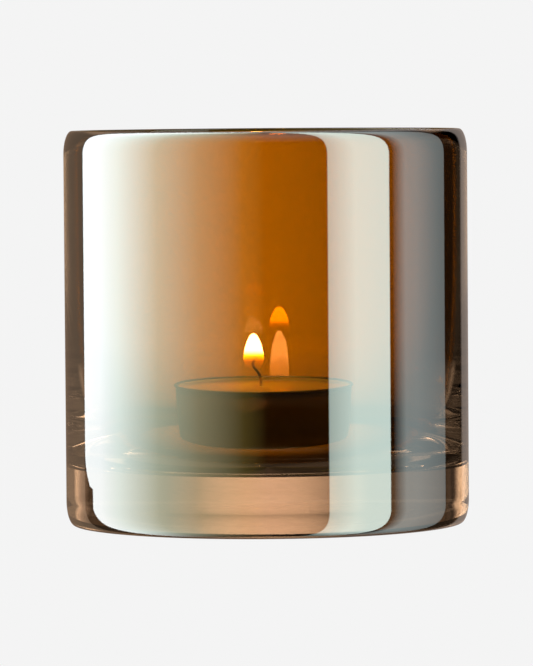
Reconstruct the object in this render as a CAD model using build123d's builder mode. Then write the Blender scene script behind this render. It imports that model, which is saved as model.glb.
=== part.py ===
from build123d import *
import os

# Tealight holder: a heavy based glass cylinder with a tealight standing on its inner floor.
# Millimetres, +Z up, origin on the holder's axis at the centre of its underside.

# Glass holder
holder_radius = 42.5
holder_height = 83.0
base_thickness = 12.0
wall_thickness = 2.2
foot_width = 1.7
foot_height = 5.0
rim_inner_radius = 0.45
rim_outer_height = 5.0

# Inner wall: straight down to the shoulder, then one smooth curve on to the flat floor
shoulder_height = 70.0
shoulder_pull_height = 28.0
floor_pull_radius = 39.6
floor_radius = 28.0

# Tealight cup, drawn from foil, with its edge rolled outwards
cup_centre_x = -0.7
cup_height = 15.7
cup_foot_radius = 18.2
cup_top_radius = 18.7
cup_wall = 0.3
cup_corner_radius = 1.2
cup_bead_radius = 0.3

# Wax
wax_clearance = 0.15
wax_top_gap = 0.7
wax_corner_cut = 1.1

# Wick, and the steel disc with a neck that holds its foot
wick_offset_x = -0.6
wick_radius = 0.45
wick_straight_length = 15.9
wick_lean_radius = 4.2
wick_lean_angle = 35
wick_middle_length = 1.0
wick_curl_radius = 1.6
wick_curl_angle = 85
wick_tip_length = 0.7
disc_radius = 6.25
disc_thickness = 0.3
neck_radius = 1.1
neck_height = 3.0
fit_gap = 0.05

inner_radius = holder_radius - wall_thickness
rim_outer_width = wall_thickness - rim_inner_radius
cup_floor_height = base_thickness + cup_wall
cup_top_height = base_thickness + cup_height
bead_height = cup_top_height - cup_bead_radius
wax_top_height = cup_top_height - wax_top_gap
wick_centre_x = cup_centre_x + wick_offset_x

# Upright planes for the turned profiles, one through each part's own axis
cup_plane = Plane(origin=(cup_centre_x, 0, 0), x_dir=(1, 0, 0), z_dir=(0, -1, 0))
wick_plane = Plane(origin=(wick_centre_x, 0, 0), x_dir=(1, 0, 0), z_dir=(0, -1, 0))
cup_axis = Axis((cup_centre_x, 0, 0), (0, 0, 1))
wick_axis = Axis((wick_centre_x, 0, 0), (0, 0, 1))

os.makedirs("parts", exist_ok=True)

# One piece of glass, turned about its axis: solid base, rounded foot, melted rim
with BuildPart() as glass_holder:
    with BuildSketch(Plane.XZ):
        with BuildLine():
            Line((0, 0), (holder_radius - foot_width, 0))
            EllipticalCenterArc(
                (holder_radius - foot_width, foot_height),
                foot_width,
                foot_height,
                start_angle=-90,
                arc_size=90,
            )
            Line((holder_radius, foot_height), (holder_radius, holder_height - rim_outer_height))
            EllipticalCenterArc(
                (holder_radius - rim_outer_width, holder_height - rim_outer_height),
                rim_outer_width,
                rim_outer_height,
                start_angle=0,
                arc_size=90,
            )
            CenterArc(
                (inner_radius + rim_inner_radius, holder_height - rim_inner_radius),
                rim_inner_radius,
                90,
                90,
            )
            Line((inner_radius, holder_height - rim_inner_radius), (inner_radius, shoulder_height))
            Bezier(
                (inner_radius, shoulder_height),
                (inner_radius, shoulder_pull_height),
                (floor_pull_radius, base_thickness),
                (floor_radius, base_thickness),
            )
            Line((floor_radius, base_thickness), (0, base_thickness))
            Line((0, base_thickness), (0, 0))
        make_face()
    revolve(axis=Axis.Z)
glass_holder.part.label = "glass_holder"
export_step(glass_holder.part, "parts/glass_holder.step")

# Thin cup: tapered wall, rounded lower corner, rolled edge
with BuildPart() as tealight_cup:
    with BuildSketch(cup_plane) as cup_section:
        with BuildLine():
            Polyline(
                (0, base_thickness),
                (cup_foot_radius, base_thickness),
                (cup_top_radius, bead_height),
                (cup_top_radius - cup_wall, bead_height),
                (cup_foot_radius - cup_wall, cup_floor_height),
                (0, cup_floor_height),
                close=True,
            )
        make_face()
        outer_corner = cup_section.vertices().sort_by_distance((cup_foot_radius, base_thickness))[0]
        fillet(outer_corner, cup_corner_radius)
        inner_foot = (cup_foot_radius - cup_wall, cup_floor_height)
        inner_corner = cup_section.vertices().sort_by_distance(inner_foot)[0]
        fillet(inner_corner, cup_corner_radius - cup_wall)
        with Locations((cup_top_radius - cup_wall + cup_bead_radius, bead_height)):
            Circle(cup_bead_radius)
    revolve(axis=cup_axis)
tealight_cup.part.label = "tealight_cup"
export_step(tealight_cup.part, "parts/tealight_cup.step")

# Wax, a small gap inside the cup all round, with a socket for the wick and its disc
wax_taper = (cup_top_radius - cup_foot_radius) / (bead_height - base_thickness)
wax_foot_radius = cup_foot_radius - cup_wall - wax_clearance
wax_top_radius = wax_foot_radius + wax_taper * (wax_top_height - cup_floor_height)
with BuildPart() as wax:
    with BuildSketch(cup_plane):
        with BuildLine():
            Polyline(
                (0, cup_floor_height),
                (wax_foot_radius - wax_corner_cut, cup_floor_height),
                (wax_foot_radius, cup_floor_height + wax_corner_cut),
                (wax_top_radius, wax_top_height),
                (0, wax_top_height),
                close=True,
            )
        make_face()
    revolve(axis=cup_axis)
    with BuildSketch(wick_plane):
        with BuildLine():
            Polyline(
                (0, cup_floor_height),
                (disc_radius + fit_gap, cup_floor_height),
                (disc_radius + fit_gap, cup_floor_height + disc_thickness + fit_gap),
                (neck_radius + fit_gap, cup_floor_height + disc_thickness + fit_gap),
                (neck_radius + fit_gap, cup_floor_height + neck_height + fit_gap),
                (wick_radius + fit_gap, cup_floor_height + neck_height + fit_gap),
                (wick_radius + fit_gap, wax_top_height),
                (0, wax_top_height),
                close=True,
            )
        make_face()
    revolve(axis=wick_axis, mode=Mode.SUBTRACT)
wax.part.label = "wax"
export_step(wax.part, "parts/wax.step")

# Steel disc with a short neck round the wick
with BuildPart() as wick_holder_disc:
    with BuildSketch(wick_plane):
        with BuildLine():
            Polyline(
                (wick_radius + fit_gap, cup_floor_height),
                (disc_radius, cup_floor_height),
                (disc_radius, cup_floor_height + disc_thickness),
                (neck_radius, cup_floor_height + disc_thickness),
                (neck_radius, cup_floor_height + neck_height),
                (wick_radius + fit_gap, cup_floor_height + neck_height),
                close=True,
            )
        make_face()
    revolve(axis=wick_axis)
wick_holder_disc.part.label = "wick_holder_disc"
export_step(wick_holder_disc.part, "parts/wick_holder_disc.step")

# Wick: upright through the wax, then it leans over and its burnt tip curls back
with BuildPart() as wick:
    with BuildLine(wick_plane):
        upright = Line((0, cup_floor_height), (0, cup_floor_height + wick_straight_length))
        lean = JernArc(upright @ 1, upright % 1, wick_lean_radius, wick_lean_angle)
        middle = PolarLine(lean @ 1, wick_middle_length, direction=lean % 1)
        curl = JernArc(middle @ 1, middle % 1, wick_curl_radius, -wick_curl_angle)
        PolarLine(curl @ 1, wick_tip_length, direction=curl % 1)
    with BuildSketch(Plane(origin=(wick_centre_x, 0, cup_floor_height))):
        Circle(wick_radius)
    sweep()
wick.part.label = "wick"
export_step(wick.part, "parts/wick.step")
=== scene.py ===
import math

import bmesh
import bpy
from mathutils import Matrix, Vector


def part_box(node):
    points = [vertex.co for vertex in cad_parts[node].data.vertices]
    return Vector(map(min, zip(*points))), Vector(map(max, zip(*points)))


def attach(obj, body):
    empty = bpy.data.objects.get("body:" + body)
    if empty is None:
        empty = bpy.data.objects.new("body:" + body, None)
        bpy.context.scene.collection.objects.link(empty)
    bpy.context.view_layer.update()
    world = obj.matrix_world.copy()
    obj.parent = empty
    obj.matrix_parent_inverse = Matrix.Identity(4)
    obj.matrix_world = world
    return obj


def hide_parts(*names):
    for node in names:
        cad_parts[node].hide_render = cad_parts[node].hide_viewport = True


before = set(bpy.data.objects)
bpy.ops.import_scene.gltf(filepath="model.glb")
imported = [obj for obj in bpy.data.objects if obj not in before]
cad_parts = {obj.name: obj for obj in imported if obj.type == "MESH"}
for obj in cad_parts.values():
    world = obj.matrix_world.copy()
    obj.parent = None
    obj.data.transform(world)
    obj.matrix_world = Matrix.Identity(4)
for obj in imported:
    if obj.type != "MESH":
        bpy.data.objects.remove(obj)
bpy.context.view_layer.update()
print("frame loaded")

mm = 0.001


# A node's output that can be added, multiplied and so on, and that makes further nodes
class Wire:
    def __init__(self, tree, socket=None):
        self.tree = tree
        self.socket = socket

    def node(self, kind, settings=None, inputs=None, output=0):
        made = self.tree.nodes.new(kind)
        for name, value in (settings or {}).items():
            if name == "stops":
                setStops(made.color_ramp, value)
            else:
                setattr(made, name, value)
        for name, value in (inputs or {}).items():
            if isinstance(value, Wire):
                self.tree.links.new(value.socket, made.inputs[name])
            else:
                made.inputs[name].default_value = value
        return Wire(self.tree, made.outputs[output] if made.outputs else None)

    def sums(self, operation, first, second=0.0, clamped=False):
        settings = {"operation": operation, "use_clamp": clamped}
        return self.node("ShaderNodeMath", settings, {0: first, 1: second})

    def __add__(self, other):
        return self.sums("ADD", self, other)

    __radd__ = __add__

    def __sub__(self, other):
        return self.sums("SUBTRACT", self, other)

    def __rsub__(self, other):
        return self.sums("SUBTRACT", other, self)

    def __mul__(self, other):
        return self.sums("MULTIPLY", self, other)

    __rmul__ = __mul__

    def __truediv__(self, other):
        return self.sums("DIVIDE", self, other)

    def __pow__(self, other):
        return self.sums("POWER", self, other)

    def between(self, low, high):
        # 0 up to low, 1 from high on, an even slope in between
        inputs = {"Value": self, "From Min": low, "From Max": high}
        return self.node("ShaderNodeMapRange", None, inputs)

    def blended(self, first, second):
        # first colour where self is 0, second where it is 1
        settings = {"data_type": "RGBA"}
        return self.node("ShaderNodeMix", settings, {0: self, 6: first, 7: second}, 2)

    def scaled(self, vector):
        return self.node("ShaderNodeVectorMath", {"operation": "SCALE"}, {0: vector, "Scale": self})


def setStops(ramp, stops):
    while len(ramp.elements) < len(stops):
        ramp.elements.new(0.5)
    for element, (place, colour) in zip(ramp.elements, stops):
        element.position = place
        element.color = colour


# Materials

def newMaterial(name):
    material = bpy.data.materials.new(name)
    material.use_nodes = True
    material.node_tree.nodes.clear()
    return material, Wire(material.node_tree)


def principled(start, inputs):
    return start.node("ShaderNodeBsdfPrincipled", None, inputs)


def closeMaterial(start, shader):
    start.node("ShaderNodeOutputMaterial", None, {"Surface": shader})


def objectPlace(start):
    return start.node("ShaderNodeTexCoord", None, None, 3)


def noiseOn(place, scale, detail=2.0):
    return place.node("ShaderNodeTexNoise", None, {"Vector": place, "Scale": scale, "Detail": detail})


def heightOf(place):
    return place.node("ShaderNodeSeparateXYZ", None, {0: place}, 2)


def bumped(height, strength, distance):
    inputs = {"Height": height, "Strength": strength, "Distance": distance}
    return height.node("ShaderNodeBump", None, inputs)


glassLook = {
    "index": 1.5,
    "outside": (0.76, 0.455, 0.25, 1.0),
    "inside": (0.43, 0.197, 0.001, 1.0),
    "lustreIndex": 2.3,
    "lustreThickness": 57.0,
}


def glassSkin(name, colour, lustre):
    material, start = newMaterial(name)
    place = objectPlace(start)
    streaks = noiseOn(place, 18.0, 1.0)
    paler = tuple(min(1.0, c * 1.03) for c in colour[:3]) + (1.0,)
    deeper = tuple(c * 0.97 for c in colour[:3]) + (1.0,)
    inputs = {
        "Base Color": streaks.blended(deeper, paler),
        "Roughness": 0.0,
        "IOR": glassLook["index"],
        "Transmission Weight": 1.0,
        "Normal": bumped(noiseOn(place, 14.0, 0.0), 0.02, 0.00002),
    }
    if lustre:
        inputs["Thin Film Thickness"] = glassLook["lustreThickness"]
        inputs["Thin Film IOR"] = glassLook["lustreIndex"]
    closeMaterial(start, principled(start, inputs))
    return material


def foilMaterial():
    material, start = newMaterial("drawnFoil")
    place = objectPlace(start)
    lines = place.node("ShaderNodeMapping", None, {"Vector": place, "Scale": (400.0, 400.0, 3000.0)})
    drawn = noiseOn(lines, 1.0, 3.0)
    dulled = noiseOn(place, 120.0, 2.0)
    # The foil's base colour is painted dark grey, much darker than bare aluminium, as painted shade for the
    # cup's unlit side. The noise only mottles it at random.
    inputs = {
        "Base Color": dulled.blended((0.3, 0.3, 0.31, 1.0), (0.35, 0.35, 0.36, 1.0)),
        "Metallic": 1.0,
        "Roughness": dulled * 0.06 + 0.3,
        "Normal": bumped(drawn, 0.04, 0.00002),
    }
    closeMaterial(start, principled(start, inputs))
    return material


def waxMaterial():
    material, start = newMaterial("paraffinWax")
    place = objectPlace(start)
    cloudy = noiseOn(place, 160.0, 4.0)
    inputs = {
        "Base Color": cloudy.blended((0.93, 0.7, 0.5, 1.0), (0.98, 0.76, 0.58, 1.0)),
        "Roughness": cloudy * 0.08 + 0.03,
        "IOR": 1.44,
        "Subsurface Weight": 0.6,
        "Subsurface Radius": (1.0, 0.75, 0.5),
        "Subsurface Scale": 0.003,
        "Normal": bumped(noiseOn(place, 220.0, 1.0), 0.06, 0.0001),
    }
    closeMaterial(start, principled(start, inputs))
    return material


def wickMaterial(paleTop, charTop):
    material, start = newMaterial("burntBraid")
    place = objectPlace(start)
    fibres = noiseOn(place, 2500.0, 3.0)
    up = (heightOf(place) + (fibres - 0.5) * 0.0008).between(paleTop, charTop)
    stops = [
        (0.0, (0.8, 0.68, 0.45, 1.0)),
        (0.24, (0.6, 0.45, 0.25, 1.0)),
        (0.36, (0.03, 0.024, 0.018, 1.0)),
        (1.0, (0.012, 0.01, 0.008, 1.0)),
    ]
    colour = up.node("ShaderNodeValToRGB", {"stops": stops}, {"Fac": up})
    ember = up.between(0.93, 1.0)
    inputs = {
        "Base Color": colour,
        "Roughness": fibres * 0.3 + 0.5,
        "Emission Color": ember.blended((0.0, 0.0, 0.0, 1.0), (1.0, 0.12, 0.01, 1.0)),
        "Emission Strength": 6.0,
        "Normal": bumped(fibres, 0.6, 0.0002),
    }
    closeMaterial(start, principled(start, inputs))
    return material


def steelMaterial():
    material, start = newMaterial("tinnedSteel")
    place = objectPlace(start)
    grain = noiseOn(place, 900.0, 3.0)
    inputs = {
        "Base Color": grain.blended((0.55, 0.54, 0.52, 1.0), (0.68, 0.67, 0.65, 1.0)),
        "Metallic": 1.0,
        "Roughness": grain * 0.2 + 0.3,
        "Normal": bumped(grain, 0.2, 0.0001),
    }
    closeMaterial(start, principled(start, inputs))
    return material


# Node trees that grow the pieces

def newTree(name, sockets):
    tree = bpy.data.node_groups.new(name, "GeometryNodeTree")
    tree.interface.new_socket("Geometry", in_out="OUTPUT", socket_type="NodeSocketGeometry")
    for label, kind in sockets:
        tree.interface.new_socket(label, in_out="INPUT", socket_type=kind)
    group = tree.nodes.new("NodeGroupInput")
    wires = {label: Wire(tree, group.outputs[label]) for label, _ in sockets}
    return tree, Wire(tree), wires


def closeTree(start, geometry, material):
    solid = start.node("GeometryNodeRealizeInstances", None, {"Geometry": geometry})
    shaded = start.node("GeometryNodeSetShadeSmooth", None, {"Geometry": solid, "Shade Smooth": True})
    painted = start.node("GeometryNodeSetMaterial", None, {"Geometry": shaded, "Material": material})
    start.node("NodeGroupOutput", None, {0: painted})


def curveObject(name, points):
    curve = bpy.data.curves.new(name, "CURVE")
    curve.dimensions = "3D"
    spline = curve.splines.new("POLY")
    spline.points.add(len(points) - 1)
    for target, point in zip(spline.points, points):
        target.co = (*point, 1.0)
    made = bpy.data.objects.new(name, curve)
    bpy.context.scene.collection.objects.link(made)
    return made


def grown(name, base, tree, values):
    modifier = base.modifiers.new("grow", "NODES")
    modifier.node_group = tree
    for item in tree.interface.items_tree:
        if item.in_out == "INPUT" and item.name in values:
            modifier[item.identifier] = values[item.name]
    graph = bpy.context.evaluated_depsgraph_get()
    mesh = bpy.data.meshes.new_from_object(base.evaluated_get(graph))
    bpy.data.objects.remove(base)
    mesh.name = name
    made = bpy.data.objects.new(name, mesh)
    bpy.context.scene.collection.objects.link(made)
    faceOutwards(made)
    return made


def faceOutwards(piece):
    work = bmesh.new()
    work.from_mesh(piece.data)
    bmesh.ops.remove_doubles(work, verts=work.verts, dist=0.002 * mm)
    bmesh.ops.dissolve_degenerate(work, edges=work.edges, dist=0.001 * mm)
    bmesh.ops.recalc_face_normals(work, faces=work.faces)
    work.to_mesh(piece.data)
    work.free()


turningHub = 0.1 * mm


# Turns an outline round an upright axis, and presses a faint wobble into it
def turningTree():
    tree, start, wires = newTree("turnedOutline", [
        ("Outline", "NodeSocketGeometry"),
        ("Segments", "NodeSocketInt"),
        ("Wobble", "NodeSocketFloat"),
        ("Wobble Scale", "NodeSocketFloat"),
        ("Seed", "NodeSocketFloat"),
        ("Axis Place", "NodeSocketVector"),
        ("Material", "NodeSocketMaterial"),
    ])
    ring = start.node("GeometryNodeCurvePrimitiveCircle", None,
                      {"Resolution": wires["Segments"], "Radius": turningHub})
    turned = start.node("GeometryNodeCurveToMesh", None, {"Curve": ring, "Profile Curve": wires["Outline"]})
    closed = start.node("GeometryNodeMergeByDistance", None, {"Geometry": turned, "Distance": 0.002 * mm})
    placed = start.node("GeometryNodeSetPosition", None, {"Geometry": closed, "Offset": wires["Axis Place"]})
    spot = start.node("GeometryNodeInputPosition")
    lumps = start.node("ShaderNodeTexNoise", {"noise_dimensions": "4D"},
                       {"Vector": spot, "W": wires["Seed"], "Scale": wires["Wobble Scale"], "Detail": 1.0})
    push = ((lumps - 0.5) * wires["Wobble"]).scaled(start.node("GeometryNodeInputNormal"))
    pressed = start.node("GeometryNodeSetPosition", None, {"Geometry": placed, "Offset": push})
    closeTree(start, pressed, wires["Material"])
    return tree


turnedOutline = turningTree()


# outline is a list of (radius, height), from the axis out and back to the axis
def turned(name, outline, material, axisPlace=(0.0, 0.0), segments=192,
           wobble=0.0, wobbleScale=60.0, seed=1.0):
    points = [(radius - turningHub, -height, 0.0) for radius, height in outline]
    values = {
        "Segments": segments,
        "Wobble": wobble,
        "Wobble Scale": wobbleScale,
        "Seed": seed,
        "Axis Place": (axisPlace[0], axisPlace[1], 0.0),
        "Material": material,
    }
    return grown(name, curveObject(name + "Outline", points), turnedOutline, values)


def arcOutline(centre, across, up, fromDegrees, toDegrees, steps):
    angles = [math.radians(fromDegrees + (toDegrees - fromDegrees) * i / steps) for i in range(steps + 1)]
    return [(centre[0] + across * math.cos(a), centre[1] + up * math.sin(a)) for a in angles]


def bezierOutline(first, pullFirst, pullLast, last, steps):
    points = []
    for i in range(steps + 1):
        t = i / steps
        weights = ((1 - t) ** 3, 3 * (1 - t) ** 2 * t, 3 * (1 - t) * t ** 2, t ** 3)
        four = (first, pullFirst, pullLast, last)
        points.append(tuple(sum(w * p[k] for w, p in zip(weights, four)) for k in (0, 1)))
    return points


def straightOutline(first, last, steps):
    return [tuple(a + (b - a) * i / steps for a, b in zip(first, last)) for i in range(steps + 1)]


def joinedOutline(*runs):
    points = []
    for run in runs:
        for point in run:
            if not points or math.dist(points[-1], point) > 0.003 * mm:
                points.append(point)
    return points


# Glass holder

holderLow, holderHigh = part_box("glass_holder")
holderSizes = {
    "radius": (holderHigh.x - holderLow.x) / 2,
    "height": holderHigh.z,
    "base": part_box("tealight_cup")[0].z,
    "wall": 2.2 * mm,
    "footWidth": 1.7 * mm,
    "footHeight": 5.0 * mm,
    "rimInner": 0.45 * mm,
    "rimOuterHeight": 5.0 * mm,
    "shoulder": 70.0 * mm,
    "shoulderPull": 28.0 * mm,
    "floorPull": 39.6 * mm,
    "floor": 28.0 * mm,
    "segments": 320,
}


def holderOutline(s):
    inner = s["radius"] - s["wall"]
    rimWidth = s["wall"] - s["rimInner"]
    footCentre = (s["radius"] - s["footWidth"], s["footHeight"])
    rimCentre = (s["radius"] - rimWidth, s["height"] - s["rimOuterHeight"])
    lipCentre = (inner + s["rimInner"], s["height"] - s["rimInner"])
    return joinedOutline(
        straightOutline((0.0, 0.0), (footCentre[0], 0.0), 5),
        arcOutline(footCentre, s["footWidth"], s["footHeight"], -90, 0, 14),
        straightOutline((s["radius"], s["footHeight"]), (s["radius"], rimCentre[1]), 16),
        arcOutline(rimCentre, rimWidth, s["rimOuterHeight"], 0, 90, 16),
        arcOutline(lipCentre, s["rimInner"], s["rimInner"], 90, 180, 8),
        straightOutline((inner, lipCentre[1]), (inner, s["shoulder"]), 6),
        bezierOutline((inner, s["shoulder"]), (inner, s["shoulderPull"]),
                      (s["floorPull"], s["base"]), (s["floor"], s["base"]), 44),
        straightOutline((s["floor"], s["base"]), (0.0, s["base"]), 5),
    )


def makeHolder(s):
    lustre = glassSkin("lustredGlass", glassLook["outside"], True)
    casing = glassSkin("amberCasing", glassLook["inside"], False)
    holder = turned("holder_glass", holderOutline(s), lustre, segments=s["segments"])
    holder.data.materials.append(casing)
    lipRadius = s["radius"] - s["wall"] + s["rimInner"]
    for face in holder.data.polygons:
        middle = face.center
        if middle.z > s["base"] - 0.05 * mm and math.hypot(middle.x, middle.y) < lipRadius:
            face.material_index = 1
    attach(holder, "holder")
    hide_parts("glass_holder")
    return holder


makeHolder(holderSizes)
print("glass made")


# Tealight: foil cup, wax, wick, wick disc

cupLow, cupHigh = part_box("tealight_cup")
cupSizes = {
    "centre": ((cupLow.x + cupHigh.x) / 2, 0.0),
    "low": cupLow.z,
    "high": cupHigh.z,
    "bead": 0.3 * mm,
    "wall": 0.3 * mm,
    "foot": 18.2 * mm,
    "top": 18.7 * mm,
    "corner": 1.2 * mm,
    "step": 12.0 * mm,
    "stepDepth": 0.15 * mm,
}


def cupOutline(s):
    beadCentre = (s["top"] - s["wall"] + s["bead"], s["high"] - s["bead"])
    low, inside = s["low"], s["low"] + s["wall"]
    outerCorner = (s["foot"] - s["corner"], low + s["corner"])
    innerRound = s["corner"] - s["wall"]
    return joinedOutline(
        straightOutline((0.0, low + s["stepDepth"]), (s["step"], low + s["stepDepth"]), 3),
        [(s["step"] + 0.3 * mm, low)],
        [(outerCorner[0], low)],
        arcOutline(outerCorner, s["corner"], s["corner"], -90, 0, 10),
        straightOutline((s["foot"], outerCorner[1]), (s["top"], beadCentre[1] - 0.15 * mm), 10),
        arcOutline(beadCentre, s["bead"], s["bead"], -120, 180, 16),
        straightOutline((s["top"] - s["wall"], beadCentre[1]), (s["foot"] - s["wall"], outerCorner[1]), 10),
        arcOutline(outerCorner, innerRound, innerRound, 0, -90, 8),
        [(s["step"] + 0.3 * mm, inside)],
        straightOutline((s["step"], inside), (0.0, inside), 3),
    )


def makeCup(s):
    cup = turned("cup_foil", cupOutline(s), foilMaterial(), axisPlace=s["centre"],
                 wobble=0.008 * mm, wobbleScale=110.0, seed=4.0)
    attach(cup, "tealight")
    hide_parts("tealight_cup")
    return cup


waxLow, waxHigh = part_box("wax")
waxSizes = {
    "centre": ((waxLow.x + waxHigh.x) / 2, 0.0),
    "low": waxLow.z + 0.04 * mm,
    "high": waxHigh.z,
    "foot": 17.6 * mm,
    "top": (waxHigh.x - waxLow.x) / 2,
    "corner": 1.1 * mm,
    "meniscus": 0.35 * mm,
}


def waxOutline(s):
    edge = s["high"] + s["meniscus"]
    return joinedOutline(
        straightOutline((0.0, s["low"]), (s["foot"] - s["corner"], s["low"]), 4),
        arcOutline((s["foot"] - s["corner"], s["low"] + s["corner"]), s["corner"], s["corner"], -90, 0, 8),
        straightOutline((s["foot"], s["low"] + s["corner"]), (s["top"], edge), 8),
        bezierOutline((s["top"], edge), (s["top"] - 0.3 * mm, s["high"] + 0.05 * mm),
                      (s["top"] - 0.8 * mm, s["high"]), (s["top"] - 2.0 * mm, s["high"]), 8),
        straightOutline((s["top"] - 2.0 * mm, s["high"]), (1.2 * mm, s["high"]), 8),
        [(0.0, s["high"] + 0.05 * mm)],
    )


def makeWax(s):
    wax = turned("wax_fill", waxOutline(s), waxMaterial(), axisPlace=s["centre"],
                 wobble=0.02 * mm, seed=7.0)
    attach(wax, "candle")
    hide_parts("wax")
    return wax


# Strands that wind round a path, thinner towards its tip
def braidTree():
    tree, start, wires = newTree("braidedWick", [
        ("Path", "NodeSocketGeometry"),
        ("Strands", "NodeSocketInt"),
        ("Turns", "NodeSocketFloat"),
        ("Strand Radius", "NodeSocketFloat"),
        ("Braid Radius", "NodeSocketFloat"),
        ("Tip Share", "NodeSocketFloat"),
        ("Material", "NodeSocketMaterial"),
    ])
    fine = start.node("GeometryNodeResampleCurve", None, {"Curve": wires["Path"], "Count": 140})
    copies = start.tree.nodes.new("GeometryNodeDuplicateElements")
    copies.domain = "SPLINE"
    start.tree.links.new(fine.socket, copies.inputs["Geometry"])
    start.tree.links.new(wires["Strands"].socket, copies.inputs["Amount"])
    strand = Wire(tree, copies.outputs["Duplicate Index"])
    along = start.node("GeometryNodeSplineParameter")
    taper = 1.0 - along.between(0.55, 1.0) * (1.0 - wires["Tip Share"])
    angle = along * wires["Turns"] * math.tau + strand / wires["Strands"] * math.tau
    side = start.node("GeometryNodeInputNormal")
    tangent = start.node("GeometryNodeInputTangent")
    cross = start.node("ShaderNodeVectorMath", {"operation": "CROSS_PRODUCT"}, {0: tangent, 1: side})
    reach = wires["Braid Radius"] * taper
    first = (start.sums("COSINE", angle) * reach).scaled(side)
    second = (start.sums("SINE", angle) * reach).scaled(cross)
    offset = start.node("ShaderNodeVectorMath", {"operation": "ADD"}, {0: first, 1: second})
    wound = start.node("GeometryNodeSetPosition", None,
                       {"Geometry": Wire(tree, copies.outputs["Geometry"]), "Offset": offset})
    ring = start.node("GeometryNodeCurvePrimitiveCircle", None,
                      {"Resolution": 10, "Radius": wires["Strand Radius"]})
    tubes = start.node("GeometryNodeCurveToMesh", None,
                       {"Curve": wound, "Profile Curve": ring, "Scale": taper, "Fill Caps": True})
    closeTree(start, tubes, wires["Material"])
    return tree


wickLow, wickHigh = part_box("wick")
wickSizes = {
    "low": wickLow.z,
    "high": wickHigh.z,
    "axis": wickHigh.x - 0.45 * mm,
    "upright": 15.9 * mm,
    "leanRadius": 4.2 * mm,
    "leanAngle": 35.0,
    "middle": 1.0 * mm,
    "curlRadius": 1.6 * mm,
    "curlAngle": 85.0,
    "tip": 0.5 * mm,
    "strands": 3,
    "turns": 14.0,
    "strandRadius": 0.2 * mm,
    "braidRadius": 0.15 * mm,
}


def wickRoute(s):
    x, z, heading = s["axis"], s["low"], 0.0
    points = [(x, 0.0, z + s["upright"] * i / 8) for i in range(9)]
    z += s["upright"]
    for radius, sweep, run in ((s["leanRadius"], -s["leanAngle"], s["middle"]),
                               (s["curlRadius"], s["curlAngle"], s["tip"])):
        steps = 8
        turn = math.radians(sweep) / steps
        stride = 2 * radius * math.sin(abs(turn) / 2)
        for _ in range(steps):
            heading += turn / 2
            x += stride * math.sin(heading)
            z += stride * math.cos(heading)
            heading += turn / 2
            points.append((x, 0.0, z))
        x += run * math.sin(heading)
        z += run * math.cos(heading)
        points.append((x, 0.0, z))
    return points


def makeWick(s):
    values = {
        "Strands": s["strands"],
        "Turns": s["turns"],
        "Strand Radius": s["strandRadius"],
        "Braid Radius": s["braidRadius"],
        "Tip Share": 0.9,
        "Material": wickMaterial(waxSizes["high"], s["high"]),
    }
    wick = grown("wick_braid", curveObject("wickPath", wickRoute(s)), braidTree(), values)
    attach(wick, "candle")
    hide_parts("wick")
    return wick


discLow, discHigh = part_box("wick_holder_disc")
discSizes = {
    "centre": ((discLow.x + discHigh.x) / 2, 0.0),
    "low": discLow.z,
    "high": discHigh.z,
    "radius": (discHigh.x - discLow.x) / 2,
    "sheet": 0.3 * mm,
    "neck": 1.1 * mm,
    "bore": 0.5 * mm,
}


def discOutline(s):
    sheetTop = s["low"] + s["sheet"]
    return joinedOutline(
        [(s["bore"], s["low"]), (s["neck"], s["low"]), (s["radius"] - 0.15 * mm, s["low"])],
        [(s["radius"], s["low"] + 0.15 * mm), (s["radius"] - 0.1 * mm, sheetTop)],
        [(s["neck"] + 0.5 * mm, sheetTop), (s["neck"], sheetTop + 0.5 * mm)],
        [(s["neck"] - 0.05 * mm, s["high"] - 0.9 * mm), (s["neck"] - 0.2 * mm, s["high"] - 0.6 * mm)],
        [(s["neck"] - 0.05 * mm, s["high"] - 0.2 * mm), (s["neck"] - 0.1 * mm, s["high"])],
        [(s["bore"], s["high"]), (s["bore"], s["low"])],
    )


def makeDisc(s):
    disc = turned("wick_disc", discOutline(s), steelMaterial(), axisPlace=s["centre"], segments=96)
    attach(disc, "candle")
    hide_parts("wick_holder_disc")
    return disc


makeCup(cupSizes)
makeWax(waxSizes)
makeWick(wickSizes)
makeDisc(discSizes)
print("tealight made")


# Flame

flameSizes = {
    "x": -2.75 * mm,
    "top": 39.3 * mm,
    "widest": 2.18 * mm,
    "shoulderDrop": 5.3 * mm,
    "length": 8.4 * mm,
    "glow": 100.0,
    "hot": (0.45, 0.27, 1.0, 1.0),
    "yellow": (0.14, 0.06, 0.004, 1.0),
    "orange": (0.03, 0.009, 0.0005, 1.0),
    "watts": 0.0085,
}


def flameMaterial(s):
    material, start = newMaterial("candleFlame")
    place = objectPlace(start)
    up = heightOf(place).between(s["top"] - s["length"], s["top"])
    stops = [
        (0.0, s["orange"]),
        (0.26, s["orange"]),
        (0.42, s["yellow"]),
        (0.56, s["hot"]),
        (1.0, s["hot"]),
    ]
    colour = up.node("ShaderNodeValToRGB", {"stops": stops}, {"Fac": up})
    glow = start.node("ShaderNodeEmission", None, {"Color": colour, "Strength": s["glow"]})
    clear = start.node("ShaderNodeBsdfTransparent")
    edge = start.node("ShaderNodeLayerWeight", None, {"Blend": 0.5}, 1)
    body = up.between(0.02, 0.55)
    factor = start.sums("ADD", body * body, body * edge * 0.5, clamped=True)
    closeMaterial(start, start.node("ShaderNodeMixShader", None, {0: factor, 1: clear, 2: glow}))
    return material


def flameOutline(s):
    top, widest = s["top"], s["widest"]
    low = top - s["length"]
    shoulder = top - s["shoulderDrop"]
    return joinedOutline(
        bezierOutline((0.0, top), (0.46 * widest, top), (0.85 * widest, top - 0.49 * s["shoulderDrop"]),
                      (widest, shoulder), 20),
        bezierOutline((widest, shoulder), (1.05 * widest, shoulder - 1.0 * mm),
                      (0.7 * widest, low), (0.0, low), 14),
    )


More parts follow.
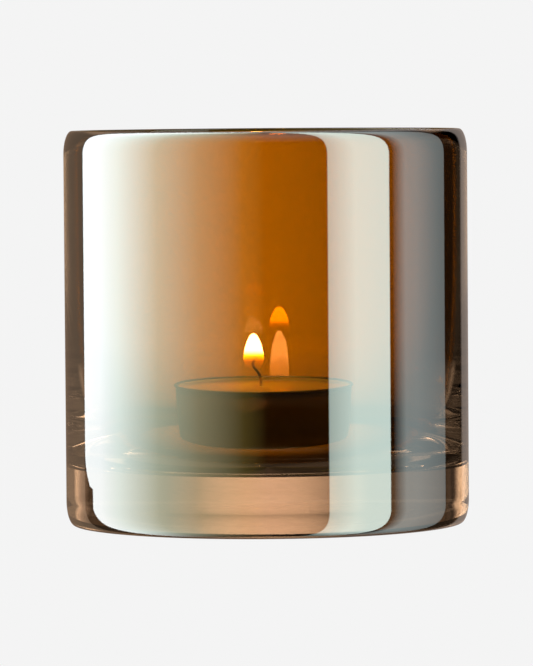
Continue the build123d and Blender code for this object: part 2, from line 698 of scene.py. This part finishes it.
def makeFlame(s):
    flame = turned("flame", flameOutline(s), flameMaterial(s), axisPlace=(s["x"], 0.0), segments=48)
    flame.visible_diffuse = False
    flame.visible_shadow = False
    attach(flame, "candle")
    light = bpy.data.lights.new("flameLight", "POINT")
    light.energy = s["watts"]
    light.color = (1.0, 0.62, 0.3)
    light.shadow_soft_size = 1.5 * mm
    lamp = bpy.data.objects.new("flameLight", light)
    lamp.location = (s["x"], 0.0, s["top"] - 0.3 * s["length"])
    lamp.visible_camera = False
    lamp.visible_glossy = False
    lamp.visible_transmission = False
    bpy.context.scene.collection.objects.link(lamp)
    lamp.parent = flame
    return flame


makeFlame(flameSizes)
print("flame made")


# Studio: pale floor, soft panels of light, camera

# Angles are in degrees: azimuths from the front, growing to the right, and heights from level.
# A pair of angles is where a light comes (rise), goes (fall) or weakens (fade).
studio = {
    "pale": (0.905, 0.905, 0.905, 1.0),
    "softboxLight": 3.3,
    "softboxWidth": 128.0,
    "softboxRise": (0.0, 1.0),
    "softboxFall": (127.2, 128.0),
    "softboxLowFade": (2.8, 4.0),
    "softboxLowLoss": 0.13,
    "softboxCorner": 9.0,
    "cornerBelow": (4.0, 4.46),
    "softboxFootCorner": 11.0,
    "footCornerBelow": (4.5, 40.0),
    "strip": (1.5, 1.75, 1.65),
    "stripLeast": 0.72,
    "stripGain": 0.46,
    "stripGainRise": (36.0, 52.0),
    "stripRise": (34.8, 35.6),
    "stripFall": (74.0, 74.6),
    "dim": (0.6, 0.67, 0.67),
    "dimRise": (76.5, 86.0),
    "dimFade": (95.0, 135.0),
    "dimLoss": 0.6,
    "dimFall": (122.0, 122.8),
    "farRight": (0.4, 0.33, 0.29),
    "farRightRise": (146.0, 150.0),
    "farLeft": (0.27, 0.18, 0.12),
    "farLeftRise": (128.0, 128.6),
    "overhead": (0.2, 0.2, 0.2),
    "overheadRise": (25.0, 50.0),
    "undersideFade": (40.0, 70.0),
    "undersideLoss": 0.95,
    "backdrop": (2.35, 2.35, 2.35),
    "backdropSpread": 9.5,
    "backdropFalloff": 1.7,
    "backdropShift": 0.5,
    "backdropAboveFall": (2.5, 7.0),
    "backdropBelowFade": (6.5, 25.0),
    "backdropBelowLoss": 0.97,
    "gapLeft": (0.02, 0.02, 0.02),
    "gapRight": (0.05, 0.05, 0.05),
    "seenSides": (0.1, 0.1, 0.1),
    "gapRise": (119.0, 121.0),
    "seenFront": (0.06, 0.06, 0.06),
    "frontFall": (50.0, 80.0),
    "seenBelow": (0.35, 0.35, 0.35),
    "belowRise": (12.0, 14.0),
    "belowFall": (27.0, 31.0),
    "belowBackFall": (145.0, 150.0),
    "cardRadius": 45.5 * mm,
    "cardHeight": 8.8 * mm,
    "cardLight": 2.6,
    "cardSpread": 25.0,
}

softboxStops = [
    (0.0, (0.0, 0.0, 0.0, 1.0)),
    (0.1, (0.05, 0.038, 0.01, 1.0)),
    (0.3, (0.2, 0.18, 0.11, 1.0)),
    (0.5, (0.37, 0.39, 0.3, 1.0)),
    (0.73, (0.78, 0.84, 0.79, 1.0)),
    (0.86, (1.0, 1.0, 1.0, 1.0)),
    (1.0, (1.0, 1.0, 1.0, 1.0)),
]


def addVectors(first, second):
    return first.node("ShaderNodeVectorMath", {"operation": "ADD"}, {0: first, 1: second})


def directions(start):
    ray = start.node("ShaderNodeTexCoord", None, None, 0)
    x, y, z = (start.node("ShaderNodeSeparateXYZ", None, {0: ray}, axis) for axis in range(3))
    turn = 180.0 / math.pi
    return start.sums("ARCTAN2", x, y * -1.0) * turn, start.sums("ARCSINE", z) * turn


def band(angle, rise, fall):
    return angle.between(*rise) * (1.0 - angle.between(*fall))


# What the glass mirrors: a softbox on the left with a rounded lower corner, panels on the right
def mirroredLight(start, azimuth, elevation, s):
    leftward = azimuth * -1.0
    downward = elevation * -1.0
    across = leftward / s["softboxWidth"]
    softbox = across.node("ShaderNodeValToRGB", {"stops": softboxStops}, {"Fac": across})
    lowCorner = downward.between(*s["cornerBelow"])
    rounding = lowCorner * lowCorner * s["softboxCorner"]
    rounding = rounding + downward.between(*s["footCornerBelow"]) * s["softboxFootCorner"]
    beyond = (leftward + rounding).between(*s["softboxFall"])
    softboxMask = leftward.between(*s["softboxRise"]) * (1.0 - beyond)
    softboxMask = softboxMask * (1.0 - downward.between(*s["softboxLowFade"]) * s["softboxLowLoss"])
    stripMask = s["stripLeast"] + azimuth.between(*s["stripGainRise"]) * s["stripGain"]
    stripMask = band(azimuth, s["stripRise"], s["stripFall"]) * stripMask
    dimMask = 1.0 - azimuth.between(*s["dimFade"]) * s["dimLoss"]
    dimMask = band(azimuth, s["dimRise"], s["dimFall"]) * dimMask
    panels = [
        (stripMask, s["strip"]),
        (dimMask, s["dim"]),
        (azimuth.between(*s["farRightRise"]), s["farRight"]),
        (leftward.between(*s["farLeftRise"]), s["farLeft"]),
        (elevation.between(*s["overheadRise"]), s["overhead"]),
    ]
    light = (softboxMask * s["softboxLight"]).scaled(softbox)
    for mask, colour in panels:
        light = addVectors(light, mask.scaled(colour))
    return (1.0 - downward.between(*s["undersideFade"]) * s["undersideLoss"]).scaled(light)


# What is seen through the glass: a glow straight behind, little light elsewhere
def throughLight(start, azimuth, elevation, s):
    downward = elevation * -1.0
    aside = start.sums("ABSOLUTE", azimuth)
    onRight = azimuth.between(-0.5, 0.5)
    fromBack = 180.0 - aside
    offCentre = start.sums("ABSOLUTE", (onRight * 2.0 - 1.0) * fromBack + s["backdropShift"])
    glow = (1.0 - offCentre.between(0.0, s["backdropSpread"])) ** s["backdropFalloff"]
    glow = glow * (1.0 - downward.between(*s["backdropBelowFade"]) * s["backdropBelowLoss"])
    glow = glow * (1.0 - elevation.between(*s["backdropAboveFall"]))
    gap = onRight.blended((*s["gapLeft"], 1.0), (*s["gapRight"], 1.0))
    front = aside.between(*s["frontFall"]).blended((*s["seenFront"], 1.0), (*s["seenSides"], 1.0))
    around = aside.between(*s["gapRise"]).blended(front, gap)
    below = band(downward, s["belowRise"], s["belowFall"])
    below = below * (1.0 - aside.between(*s["belowBackFall"]))
    around = below.blended(around, (*s["seenBelow"], 1.0))
    return addVectors(around, glow.scaled(s["backdrop"]))


def makeWorld(s):
    world = bpy.data.worlds.new("studio")
    bpy.context.scene.world = world
    world.use_nodes = True
    world.node_tree.nodes.clear()
    start = Wire(world.node_tree)
    azimuth, elevation = directions(start)
    mirrored = mirroredLight(start, azimuth, elevation, s)
    through = throughLight(start, azimuth, elevation, s)
    passed = start.node("ShaderNodeLightPath", None, None, 6)
    seen = start.node("ShaderNodeLightPath", None, None, 0)
    colour = seen.blended(passed.blended(mirrored, through), s["pale"])
    shade = start.node("ShaderNodeBackground", None, {"Color": colour, "Strength": 1.0})
    start.node("ShaderNodeOutputWorld", None, {"Surface": shade})


cardStops = [
    (0.0, (0.6, 0.58, 0.58, 1.0)),
    (0.02, (0.47, 0.46, 0.46, 1.0)),
    (0.06, (0.2, 0.2, 0.2, 1.0)),
    (0.12, (0.08, 0.075, 0.07, 1.0)),
    (0.25, (0.07, 0.06, 0.05, 1.0)),
    (0.44, (0.05, 0.045, 0.04, 1.0)),
    (0.5, (0.26, 0.26, 0.28, 1.0)),
    (0.57, (1.0, 1.0, 1.0, 1.0)),
]


def cardMaterial(s):
    material, start = newMaterial("baseCard")
    facing = start.node("ShaderNodeLayerWeight", None, {"Blend": 0.5}, 1)
    glow = facing.node("ShaderNodeValToRGB", {"stops": cardStops}, {"Fac": facing})
    across = start.node("ShaderNodeSeparateXYZ", None, {0: objectPlace(start)}, 0)
    onRight = across.between(0.0, 2.0 * mm)
    strength = (1.0 - facing.between(0.42, 0.48) * onRight * 0.85) * s["cardLight"]
    closeMaterial(start, start.node("ShaderNodeEmission", None, {"Color": glow, "Strength": strength}))
    return material


# Upright curved card behind the foot, seen only through the glass, that lights the solid base
def makeCard(s):
    steps = 32
    vertices = []
    for i in range(steps + 1):
        angle = math.radians(90.0 + s["cardSpread"] * (2.0 * i / steps - 1.0))
        x, y = s["cardRadius"] * math.cos(angle), s["cardRadius"] * math.sin(angle)
        vertices += [(x, y, 0.0), (x, y, s["cardHeight"])]
    faces = [(2 * i, 2 * i + 2, 2 * i + 3, 2 * i + 1) for i in range(steps)]
    mesh = bpy.data.meshes.new("baseCard")
    mesh.from_pydata(vertices, [], faces)
    mesh.materials.append(cardMaterial(s))
    mesh.shade_smooth()
    card = bpy.data.objects.new("baseCard", mesh)
    bpy.context.scene.collection.objects.link(card)
    card.visible_camera = False
    card.visible_glossy = False
    card.visible_diffuse = False
    card.visible_shadow = False


def floorMaterial(colour):
    material, start = newMaterial("paleFloor")
    closeMaterial(start, start.node("ShaderNodeEmission", None, {"Color": colour, "Strength": 1.0}))
    return material


# Flat disc just below the table plane, seen only by the camera
def makeFloor(s):
    radius, height = 6.0, -0.02 * mm
    work = bmesh.new()
    bmesh.ops.create_circle(work, cap_ends=True, segments=128, radius=radius)
    bmesh.ops.translate(work, verts=work.verts, vec=(0.0, 0.0, height))
    mesh = bpy.data.meshes.new("floor")
    work.to_mesh(mesh)
    work.free()
    mesh.materials.append(floorMaterial(s["pale"]))
    floor = bpy.data.objects.new("floor", mesh)
    bpy.context.scene.collection.objects.link(floor)
    floor.visible_glossy = False
    floor.visible_transmission = False
    floor.visible_diffuse = False


makeWorld(studio)
makeFloor(studio)
makeCard(studio)

cameraPlace = {
    "distance": 1.1,
    "height": 92.0 * mm,
    "aimHeight": 40.1 * mm,
    "lens": 282.1,
    "roll": -0.42,
}


def makeCamera(s):
    data = bpy.data.cameras.new("camera")
    data.lens = s["lens"]
    data.sensor_width = 36.0
    data.clip_end = 20.0
    camera = bpy.data.objects.new("camera", data)
    bpy.context.scene.collection.objects.link(camera)
    camera.location = (0.0, -s["distance"], s["height"])
    aim = Vector((0.0, 0.0, s["aimHeight"])) - camera.location
    turn = aim.to_track_quat("-Z", "Y").to_euler()
    turn.rotate_axis("Z", math.radians(s["roll"]))
    camera.rotation_euler = turn
    bpy.context.scene.camera = camera


makeCamera(cameraPlace)

scene = bpy.context.scene
scene.view_settings.view_transform = "Standard"
scene.cycles.max_bounces = 24
scene.cycles.transmission_bounces = 24
scene.cycles.glossy_bounces = 16
scene.cycles.transparent_max_bounces = 16
scene.cycles.sample_clamp_indirect = 30.0
print("studio made")
